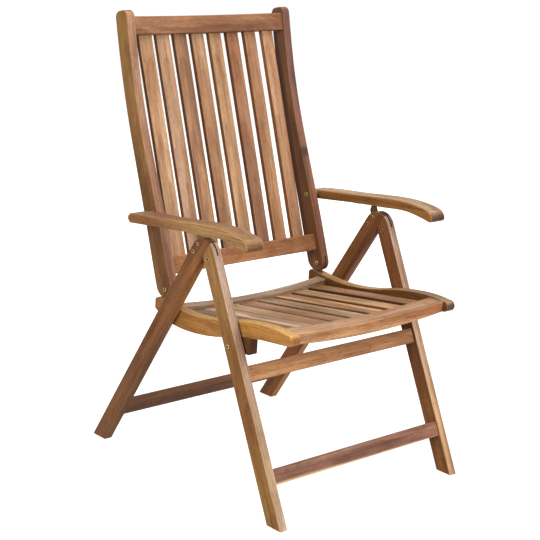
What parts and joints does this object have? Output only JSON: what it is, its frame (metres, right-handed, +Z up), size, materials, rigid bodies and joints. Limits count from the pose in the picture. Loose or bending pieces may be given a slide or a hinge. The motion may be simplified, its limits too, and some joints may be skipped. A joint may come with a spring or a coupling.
{
  "type": "folding armchair",
  "caption": "High-backed folding wooden armchair with slatted seat and back, crossed legs, and arms that slide over a catch to recline the back.",
  "frame": {"origin": "on the ground under the centre of the open chair", "axes": "+X across the chair to the sitter's left, which is the right-hand side seen from the front, -Y the way the sitter faces, +Z up"},
  "size_m": [0.62, 0.6953, 1.0387],
  "materials": {
    "front_leg_teak": "oiled, open grain",
    "rear_leg_teak": "oiled, open grain",
    "seat_slat_teak": "oiled, open grain",
    "seat_frame_teak": "oiled, open grain",
    "back_slat_teak": "oiled, open grain",
    "back_frame_teak": "oiled, open grain",
    "arm_teak": "oiled, open grain",
    "bracket_plate": "plain, slightly tarnished",
    "brass_rivet": "plain, slightly tarnished",
    "brass_bolt": "plain, slightly tarnished",
    "catch_pin": "plain, slightly tarnished",
    "hinge_plate": "plain, slightly tarnished",
    "rack_steel": "plain, slightly tarnished",
    "brass_screw": "plain, slightly tarnished"
  },
  "bodies": {
    "front_legs": {"front_leg_left": "front_leg_teak", "front_leg_right": "front_leg_teak", "front_upper_stretcher": "front_leg_teak", "front_lower_stretcher": "front_leg_teak", "leg_pivot_rivets": "brass_rivet", "seat_pivot_bolts": "brass_bolt"},
    "rear_legs": {"rear_leg_left": "rear_leg_teak", "rear_leg_right": "rear_leg_teak", "rear_stretcher": "rear_leg_teak", "leg_bracket_left": "bracket_plate", "leg_bracket_right": "bracket_plate", "bracket_rivets": "brass_rivet", "catch_pins": "catch_pin"},
    "seat": {"seat_side_rail_left": "seat_frame_teak", "seat_side_rail_right": "seat_frame_teak", "seat_front_rail": "seat_frame_teak", "seat_rear_rail": "seat_frame_teak", "seat_slat_1": "seat_slat_teak", "seat_slat_2": "seat_slat_teak", "seat_slat_3": "seat_slat_teak", "seat_slat_4": "seat_slat_teak", "seat_slat_5": "seat_slat_teak", "seat_slat_6": "seat_slat_teak", "seat_slat_7": "seat_slat_teak", "seat_slat_8": "seat_slat_teak", "seat_pivot_block_left": "seat_frame_teak", "seat_pivot_block_right": "seat_frame_teak", "back_hinge_plate_left": "hinge_plate", "back_hinge_plate_right": "hinge_plate", "hinge_plate_rivets": "brass_rivet"},
    "back": {"back_stile_left": "back_frame_teak", "back_stile_right": "back_frame_teak", "back_top_rail": "back_frame_teak", "back_bottom_rail": "back_frame_teak", "back_slat_1": "back_slat_teak", "back_slat_2": "back_slat_teak", "back_slat_3": "back_slat_teak", "back_slat_4": "back_slat_teak", "back_slat_5": "back_slat_teak", "back_slat_6": "back_slat_teak", "back_slat_7": "back_slat_teak", "back_slat_8": "back_slat_teak", "back_hinge_pins": "brass_rivet", "arm_pivot_bolts": "brass_bolt"},
    "arm_left": {"armrest_left": "arm_teak", "arm_rack_left": "rack_steel", "rack_screws_left": "brass_screw"},
    "arm_right": {"armrest_right": "arm_teak", "arm_rack_right": "rack_steel", "rack_screws_right": "brass_screw"}
  },
  "joints": [
    {"name": "fold", "type": "hinge", "parent": "front_legs", "child": "seat", "pos_m": [0, -0.1436, 0.3626], "axis": [-1, 0, 0], "range_deg": [0, 107]},
    {"name": "rear_legs_fold", "type": "hinge", "parent": "front_legs", "child": "rear_legs", "pos_m": [0, -0.06289, 0.54063], "axis": [-1, 0, 0], "range_deg": [0, 57.6]},
    {"name": "back_fold", "type": "hinge", "parent": "seat", "child": "back", "pos_m": [0, 0.1231, 0.4204], "axis": [1, 0, 0], "range_deg": [0, 94.4]},
    {"name": "arm_left_fold", "type": "hinge", "parent": "back", "child": "arm_left", "pos_m": [0, 0.1763, 0.586], "axis": [-1, 0, 0], "range_deg": [0, 106]},
    {"name": "arm_right_fold", "type": "hinge", "parent": "back", "child": "arm_right", "pos_m": [0, 0.1763, 0.586], "axis": [-1, 0, 0], "range_deg": [0, 106]}
  ],
  "couplings": [
    {"joint": "rear_legs_fold", "follows": "fold", "ratio": 0.53831},
    {"joint": "back_fold", "follows": "fold", "ratio": 0.88223},
    {"joint": "arm_left_fold", "follows": "fold", "ratio": 0.99064},
    {"joint": "arm_right_fold", "follows": "fold", "ratio": 0.99064}
  ]
}
